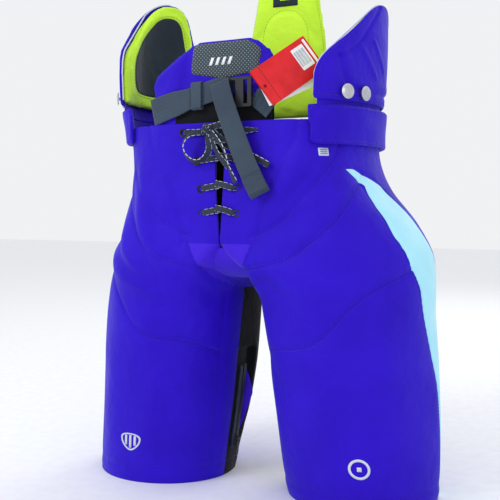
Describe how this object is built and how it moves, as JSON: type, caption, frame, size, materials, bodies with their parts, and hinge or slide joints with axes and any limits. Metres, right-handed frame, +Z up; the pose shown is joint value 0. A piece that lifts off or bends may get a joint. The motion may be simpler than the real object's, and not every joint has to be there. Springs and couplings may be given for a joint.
{
  "type": "hockey pants",
  "caption": "Padded ice hockey pants with a laced fly, belt, floating hip and spine guards, padded thighs and inseam zips, standing on the leg hems.",
  "frame": {"origin": "on the floor under the middle of the pants, which stand on their two leg hems", "axes": "+X to the wearer's left, -Y to the front (the laced fly), +Z up to the waist"},
  "size_m": [0.46, 0.2679, 0.676],
  "materials": {
    "shell_cloth": "matt woven nylon",
    "stretch_cloth": "matt stretch knit",
    "lining": "matt",
    "hard_plate": "satin",
    "foam": "matt",
    "zip_tape": "matt",
    "black_plastic": "satin",
    "lime_pad": "matt felt",
    "silver_metal": "polished",
    "black_metal": "satin",
    "lace": "waxed braid",
    "webbing": "woven",
    "charcoal_mesh": "matt",
    "label_cloth": "matt woven",
    "red_card": "gloss print",
    "white_card": "matt",
    "string": "cotton"
  },
  "bodies": {
    "waist": {"fly_panel_left": "shell_cloth", "front_panel_left": "shell_cloth", "side_panel_left": "shell_cloth", "seat_panel_left": "shell_cloth", "hip_band_left": "shell_cloth", "lace_loop_left": "lace", "lace_end_left": "lace", "belt_strap_left": "webbing", "fly_panel_right": "shell_cloth", "front_panel_right": "shell_cloth", "side_panel_right": "shell_cloth", "seat_panel_right": "shell_cloth", "hip_band_right": "shell_cloth", "lace_loop_right": "lace", "lace_end_right": "lace", "belt_strap_right": "webbing", "crotch_gusset": "stretch_cloth", "tailbone_pad": "foam", "eyelets": "black_metal", "lace_runs": "lace", "lace_knot": "lace", "lace_slack": "lace", "belt_tail": "webbing", "belt_loop": "webbing", "tag_string": "string"},
    "leg_left": {"thigh_panel_left": "shell_cloth", "outer_panel_left": "shell_cloth", "rear_panel_left": "shell_cloth", "inner_panel_left": "lining", "thigh_plate_left": "hard_plate", "thigh_foam_left": "foam", "zip_tape_left": "zip_tape", "zip_gusset_left": "stretch_cloth"},
    "leg_right": {"thigh_panel_right": "shell_cloth", "outer_panel_right": "shell_cloth", "rear_panel_right": "shell_cloth", "inner_panel_right": "lining", "thigh_plate_right": "hard_plate", "thigh_foam_right": "foam", "zip_tape_right": "zip_tape", "zip_gusset_right": "stretch_cloth"},
    "slider_left": {"zip_slider_left": "black_plastic"},
    "pull_left": {"zip_pull_left": "black_plastic"},
    "hip_guard_left": {"guard_cover_left": "shell_cloth", "guard_foam_left": "lime_pad", "brace_buttons_left": "silver_metal"},
    "slider_right": {"zip_slider_right": "black_plastic"},
    "pull_right": {"zip_pull_right": "black_plastic"},
    "hip_guard_right": {"guard_cover_right": "shell_cloth", "guard_foam_right": "lime_pad", "brace_buttons_right": "silver_metal"},
    "spine_guard": {"spine_pad": "lime_pad", "spine_plate": "hard_plate", "spine_label": "label_cloth"},
    "tongue": {"tongue_pad": "shell_cloth", "tongue_badge": "charcoal_mesh"},
    "buckle": {"ladder_buckle": "black_plastic"},
    "hang_tags": {"hang_tag_front": "red_card", "hang_tag_back": "white_card"}
  },
  "joints": [
    {"name": "hip_flex_left", "type": "hinge", "parent": "waist", "child": "leg_left", "pos_m": [0.11, 0, 0.375], "axis": [-1, 0, 0], "range_deg": [-10, 30]},
    {"name": "zip_slide_left", "type": "slide", "parent": "leg_left", "child": "slider_left", "axis": [-0.132, 0, 0.9912], "range_m": [0, 0.09]},
    {"name": "zip_pull_left", "type": "hinge", "parent": "slider_left", "child": "pull_left", "pos_m": [0.03174, 0, 0.04782], "axis": [0, 1, 0], "range_deg": [0, 150]},
    {"name": "hip_guard_flare_left", "type": "hinge", "parent": "waist", "child": "hip_guard_left", "pos_m": [0.15, 0, 0.472], "axis": [0, 1, 0], "range_deg": [0, 12], "stiffness_Nm_per_rad": 2},
    {"name": "hip_flex_right", "type": "hinge", "parent": "waist", "child": "leg_right", "pos_m": [-0.11, 0, 0.375], "axis": [-1, 0, 0], "range_deg": [-10, 30]},
    {"name": "zip_slide_right", "type": "slide", "parent": "leg_right", "child": "slider_right", "axis": [0.132, 0, 0.9912], "range_m": [0, 0.09]},
    {"name": "zip_pull_right", "type": "hinge", "parent": "slider_right", "child": "pull_right", "pos_m": [-0.03174, 0, 0.04782], "axis": [0, -1, 0], "range_deg": [0, 150]},
    {"name": "hip_guard_flare_right", "type": "hinge", "parent": "waist", "child": "hip_guard_right", "pos_m": [-0.178, 0, 0.48], "axis": [0, -1, 0], "range_deg": [0, 12], "stiffness_Nm_per_rad": 2},
    {"name": "spine_guard_flex", "type": "hinge", "parent": "waist", "child": "spine_guard", "pos_m": [0, 0.095, 0.468], "axis": [-1, 0, 0], "range_deg": [0, 15], "stiffness_Nm_per_rad": 3},
    {"name": "tongue_fold", "type": "hinge", "parent": "waist", "child": "tongue", "pos_m": [0, -0.104, 0.426], "axis": [-1, 0, 0], "range_deg": [0, 20], "stiffness_Nm_per_rad": 1.5},
    {"name": "buckle_lift", "type": "hinge", "parent": "waist", "child": "buckle", "pos_m": [0.013, -0.117, 0.4862], "axis": [0, 0, -1], "range_deg": [0, 25]},
    {"name": "hang_tag_swing", "type": "hinge", "parent": "waist", "child": "hang_tags", "pos_m": [0.062, -0.1258, 0.488], "axis": [-0.6392, 0.7451, -0.1903], "range_deg": [-15, 0]}
  ]
}
